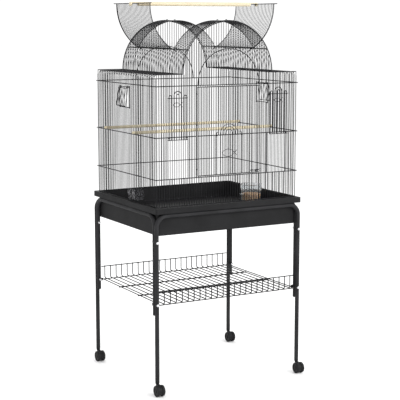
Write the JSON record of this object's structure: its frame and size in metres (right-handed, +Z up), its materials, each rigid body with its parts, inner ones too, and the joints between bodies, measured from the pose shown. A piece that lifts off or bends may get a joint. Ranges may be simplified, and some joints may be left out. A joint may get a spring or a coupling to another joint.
{
  "type": "bird cage on stand",
  "caption": "Wire bird cage with an opening domed top and play perch, set in a deep plastic tub on a tube stand with a wire shelf and casters.",
  "frame": {"origin": "on the floor, under the middle of the whole object's bounding box", "axes": "+X to the object's right seen from the front, +Y to the back, +Z up; the front doors face -Y"},
  "size_m": [0.647, 0.5786, 1.4409],
  "materials": {
    "tube": "satin",
    "shelf_wire": "satin",
    "bolt": "satin",
    "cap": "matte",
    "caster_plastic": "satin",
    "caster_steel": "satin",
    "tub": "satin",
    "cage_wire": "satin",
    "perch_wood": "matte",
    "clear_cup": "clear",
    "seed": "matte"
  },
  "bodies": {
    "stand": {"front_leg_frame": "tube", "back_leg_frame": "tube", "left_side_frame": "tube", "right_side_frame": "tube", "shelf_basket": "shelf_wire", "frame_bolts": "bolt", "frame_nuts": "bolt", "tube_end_caps": "cap", "caster_sockets": "cap"},
    "tub": {"base_tub": "tub"},
    "cage": {"front_panel": "cage_wire", "back_panel": "cage_wire", "left_panel": "cage_wire", "right_panel": "cage_wire", "roof_left": "cage_wire", "roof_right": "cage_wire", "dome_front_strip": "cage_wire", "dome_back_strip": "cage_wire", "dome_hinge_bars": "cage_wire"},
    "door": {"front_door": "cage_wire"},
    "latch": {"door_latch": "cage_wire"},
    "hatch": {"sliding_hatch": "cage_wire"},
    "feeder_left": {"feeder_door_left": "cage_wire"},
    "feeder_right": {"feeder_door_right": "cage_wire"},
    "flap_left": {"side_flap_left": "cage_wire"},
    "flap_right": {"side_flap_right": "cage_wire"},
    "dome_left": {"dome_flap_left": "cage_wire"},
    "dome_right": {"dome_flap_right": "cage_wire"},
    "perch_top": {"top_perch": "perch_wood"},
    "perch_front": {"front_perch": "perch_wood"},
    "perch_back": {"back_perch": "perch_wood"},
    "seeds": {"seed_cup": "clear_cup", "seed_fill": "seed"},
    "water": {"water_cup": "clear_cup"},
    "swivel_front_left": {"caster_body_front_left": "caster_plastic", "caster_stem_front_left": "caster_steel"},
    "wheels_front_left": {"caster_wheels_front_left": "caster_plastic", "caster_axle_front_left": "caster_steel"},
    "swivel_front_right": {"caster_body_front_right": "caster_plastic", "caster_stem_front_right": "caster_steel"},
    "wheels_front_right": {"caster_wheels_front_right": "caster_plastic", "caster_axle_front_right": "caster_steel"},
    "swivel_back_left": {"caster_body_back_left": "caster_plastic", "caster_stem_back_left": "caster_steel"},
    "wheels_back_left": {"caster_wheels_back_left": "caster_plastic", "caster_axle_back_left": "caster_steel"},
    "swivel_back_right": {"caster_body_back_right": "caster_plastic", "caster_stem_back_right": "caster_steel"},
    "wheels_back_right": {"caster_wheels_back_right": "caster_plastic", "caster_axle_back_right": "caster_steel"}
  },
  "joints": [
    {"name": "caster_swivel_front_left", "type": "hinge", "parent": "stand", "child": "swivel_front_left", "pos_m": [-0.307, -0.2523, 0.05], "axis": [0, 0, 1], "continuous": true},
    {"name": "caster_roll_front_left", "type": "hinge", "parent": "swivel_front_left", "child": "wheels_front_left", "pos_m": [-0.307, -0.2683, 0.021], "axis": [1, 0, 0], "continuous": true},
    {"name": "caster_swivel_front_right", "type": "hinge", "parent": "stand", "child": "swivel_front_right", "pos_m": [0.307, -0.2523, 0.05], "axis": [0, 0, 1], "continuous": true},
    {"name": "caster_roll_front_right", "type": "hinge", "parent": "swivel_front_right", "child": "wheels_front_right", "pos_m": [0.307, -0.2683, 0.021], "axis": [1, 0, 0], "continuous": true},
    {"name": "caster_swivel_back_left", "type": "hinge", "parent": "stand", "child": "swivel_back_left", "pos_m": [-0.307, 0.2777, 0.05], "axis": [0, 0, 1], "continuous": true},
    {"name": "caster_roll_back_left", "type": "hinge", "parent": "swivel_back_left", "child": "wheels_back_left", "pos_m": [-0.307, 0.2617, 0.021], "axis": [1, 0, 0], "continuous": true},
    {"name": "caster_swivel_back_right", "type": "hinge", "parent": "stand", "child": "swivel_back_right", "pos_m": [0.307, 0.2777, 0.05], "axis": [0, 0, 1], "continuous": true},
    {"name": "caster_roll_back_right", "type": "hinge", "parent": "swivel_back_right", "child": "wheels_back_right", "pos_m": [0.307, 0.2617, 0.021], "axis": [1, 0, 0], "continuous": true},
    {"name": "tub_lift", "type": "slide", "parent": "stand", "child": "tub", "axis": [0, 0, 1], "range_m": [0, 0.15]},
    {"name": "cage_lift", "type": "slide", "parent": "tub", "child": "cage", "axis": [0, 0, 1], "range_m": [0, 0.2]},
    {"name": "front_door_hinge", "type": "hinge", "parent": "cage", "child": "door", "pos_m": [-0.1369, -0.24541, 0.97], "axis": [0, 0, -1], "range_deg": [0, 110]},
    {"name": "latch_slide", "type": "slide", "parent": "door", "child": "latch", "axis": [1, 0, 0], "range_m": [0, 0.008]},
    {"name": "hatch_slide", "type": "slide", "parent": "door", "child": "hatch", "axis": [0, 0, 1], "range_m": [0, 0.13]},
    {"name": "feeder_door_left_slide", "type": "slide", "parent": "cage", "child": "feeder_left", "axis": [0, 0, -1], "range_m": [0, 0.139]},
    {"name": "feeder_door_right_slide", "type": "slide", "parent": "cage", "child": "feeder_right", "axis": [0, 0, -1], "range_m": [0, 0.143]},
    {"name": "side_flap_left_hinge", "type": "hinge", "parent": "cage", "child": "flap_left", "pos_m": [-0.30328, 0.01785, 1.126], "axis": [0, 1, 0], "range_deg": [-9, 95]},
    {"name": "side_flap_right_hinge", "type": "hinge", "parent": "cage", "child": "flap_right", "pos_m": [0.30328, 0.00755, 1.126], "axis": [0, -1, 0], "range_deg": [-9, 95]},
    {"name": "dome_flap_left_hinge", "type": "hinge", "parent": "cage", "child": "dome_left", "pos_m": [-0.16728, 0.0127, 1.26671], "axis": [0, 1, 0], "range_deg": [0, 88]},
    {"name": "dome_flap_right_hinge", "type": "hinge", "parent": "cage", "child": "dome_right", "pos_m": [0.16728, 0.0127, 1.26671], "axis": [0, -1, 0], "range_deg": [0, 88]},
    {"name": "top_perch_lift", "type": "slide", "parent": "cage", "child": "perch_top", "axis": [0, 0, 1], "range_m": [0, 0.44]},
    {"name": "front_perch_lift", "type": "slide", "parent": "cage", "child": "perch_front", "axis": [0, 0, 1], "range_m": [0, 0.14]},
    {"name": "back_perch_lift", "type": "slide", "parent": "cage", "child": "perch_back", "axis": [0, 0, 1], "range_m": [0, 0.14]},
    {"name": "seed_cup_lift", "type": "slide", "parent": "tub", "child": "seeds", "axis": [0, 0, 1], "range_m": [0, 0.12]},
    {"name": "water_cup_slide", "type": "slide", "parent": "cage", "child": "water", "axis": [0, 0, 1], "range_m": [0, 0.04]}
  ],
  "couplings": [
    {"joint": "dome_flap_right_hinge", "follows": "dome_flap_left_hinge", "ratio": 1},
    {"joint": "top_perch_lift", "follows": "dome_flap_left_hinge", "m_per_rad": 0.27}
  ]
}
